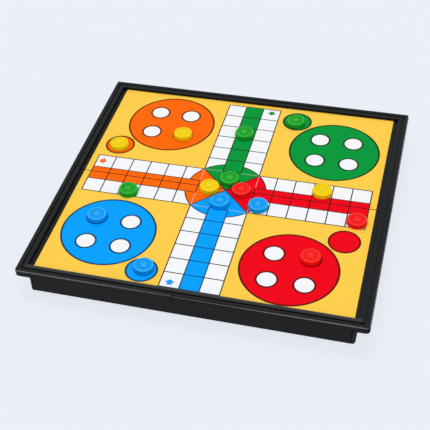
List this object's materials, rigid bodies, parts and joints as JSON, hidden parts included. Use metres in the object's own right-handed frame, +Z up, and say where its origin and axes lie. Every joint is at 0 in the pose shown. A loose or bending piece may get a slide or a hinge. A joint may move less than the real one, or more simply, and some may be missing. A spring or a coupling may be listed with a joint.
{
  "type": "folding ludo board box",
  "caption": "Folding magnetic ludo board: two hinged trays with a printed play surface on top, and round playing pieces that lift off.",
  "frame": {"origin": "centre of the open board, on the surface that its studs stand on", "axes": "+Z up out of the play surface, +X to the right along the fold line, +Y towards the back half"},
  "size_m": [0.25, 0.239, 0.0246],
  "materials": {
    "case_plastic": "fine grained, satin",
    "pin_steel": "drawn wire",
    "plate_steel": "tinned",
    "printed_sheet": "printed and laminated",
    "yellow_plastic": "moulded, semi-gloss",
    "green_plastic": "moulded, semi-gloss",
    "blue_plastic": "moulded, semi-gloss",
    "red_plastic": "moulded, semi-gloss",
    "magnet": "sintered ferrite"
  },
  "bodies": {
    "front_half": {"front_case": "case_plastic", "front_steel_plate": "plate_steel", "front_print_sheet": "printed_sheet", "left_hinge_pin": "pin_steel"},
    "rear_half": {"rear_case": "case_plastic", "rear_steel_plate": "plate_steel", "rear_print_sheet": "printed_sheet", "right_hinge_pin": "pin_steel"},
    "yellow_piece_1_body": {"yellow_piece_1": "yellow_plastic", "yellow_piece_1_magnet": "magnet"},
    "yellow_piece_2_body": {"yellow_piece_2": "yellow_plastic", "yellow_piece_2_magnet": "magnet"},
    "yellow_piece_3_body": {"yellow_piece_3": "yellow_plastic", "yellow_piece_3_magnet": "magnet"},
    "yellow_piece_4_body": {"yellow_piece_4": "yellow_plastic", "yellow_piece_4_magnet": "magnet"},
    "green_piece_1_body": {"green_piece_1": "green_plastic", "green_piece_1_magnet": "magnet"},
    "green_piece_2_body": {"green_piece_2": "green_plastic", "green_piece_2_magnet": "magnet"},
    "green_piece_3_body": {"green_piece_3": "green_plastic", "green_piece_3_magnet": "magnet"},
    "green_piece_4_body": {"green_piece_4": "green_plastic", "green_piece_4_magnet": "magnet"},
    "blue_piece_1_body": {"blue_piece_1": "blue_plastic", "blue_piece_1_magnet": "magnet"},
    "blue_piece_2_body": {"blue_piece_2": "blue_plastic", "blue_piece_2_magnet": "magnet"},
    "blue_piece_3_body": {"blue_piece_3": "blue_plastic", "blue_piece_3_magnet": "magnet"},
    "blue_piece_4_body": {"blue_piece_4": "blue_plastic", "blue_piece_4_magnet": "magnet"},
    "red_piece_1_body": {"red_piece_1": "red_plastic", "red_piece_1_magnet": "magnet"},
    "red_piece_2_body": {"red_piece_2": "red_plastic", "red_piece_2_magnet": "magnet"},
    "red_piece_3_body": {"red_piece_3": "red_plastic", "red_piece_3_magnet": "magnet"}
  },
  "joints": [
    {"name": "fold", "type": "hinge", "parent": "front_half", "child": "rear_half", "pos_m": [0, 0, 0.0025], "axis": [-1, 0, 0], "range_deg": [0, 180]},
    {"name": "yellow_piece_1_lift", "type": "slide", "parent": "rear_half", "child": "yellow_piece_1_body", "axis": [0, 0, 1], "range_m": [0, 0.03]},
    {"name": "yellow_piece_2_lift", "type": "slide", "parent": "rear_half", "child": "yellow_piece_2_body", "axis": [0, 0, 1], "range_m": [0, 0.03]},
    {"name": "yellow_piece_3_lift", "type": "slide", "parent": "front_half", "child": "yellow_piece_3_body", "axis": [0, 0, 1], "range_m": [0, 0.03]},
    {"name": "yellow_piece_4_lift", "type": "slide", "parent": "rear_half", "child": "yellow_piece_4_body", "axis": [0, 0, 1], "range_m": [0, 0.03]},
    {"name": "green_piece_1_lift", "type": "slide", "parent": "front_half", "child": "green_piece_1_body", "axis": [0, 0, 1], "range_m": [0, 0.03]},
    {"name": "green_piece_2_lift", "type": "slide", "parent": "rear_half", "child": "green_piece_2_body", "axis": [0, 0, 1], "range_m": [0, 0.03]},
    {"name": "green_piece_3_lift", "type": "slide", "parent": "rear_half", "child": "green_piece_3_body", "axis": [0, 0, 1], "range_m": [0, 0.03]},
    {"name": "green_piece_4_lift", "type": "slide", "parent": "rear_half", "child": "green_piece_4_body", "axis": [0, 0, 1], "range_m": [0, 0.03]},
    {"name": "blue_piece_1_lift", "type": "slide", "parent": "front_half", "child": "blue_piece_1_body", "axis": [0, 0, 1], "range_m": [0, 0.03]},
    {"name": "blue_piece_2_lift", "type": "slide", "parent": "front_half", "child": "blue_piece_2_body", "axis": [0, 0, 1], "range_m": [0, 0.03]},
    {"name": "blue_piece_3_lift", "type": "slide", "parent": "front_half", "child": "blue_piece_3_body", "axis": [0, 0, 1], "range_m": [0, 0.03]},
    {"name": "blue_piece_4_lift", "type": "slide", "parent": "front_half", "child": "blue_piece_4_body", "axis": [0, 0, 1], "range_m": [0, 0.03]},
    {"name": "red_piece_1_lift", "type": "slide", "parent": "rear_half", "child": "red_piece_1_body", "axis": [0, 0, 1], "range_m": [0, 0.03]},
    {"name": "red_piece_2_lift", "type": "slide", "parent": "front_half", "child": "red_piece_2_body", "axis": [0, 0, 1], "range_m": [0, 0.03]},
    {"name": "red_piece_3_lift", "type": "slide", "parent": "front_half", "child": "red_piece_3_body", "axis": [0, 0, 1], "range_m": [0, 0.03]}
  ]
}
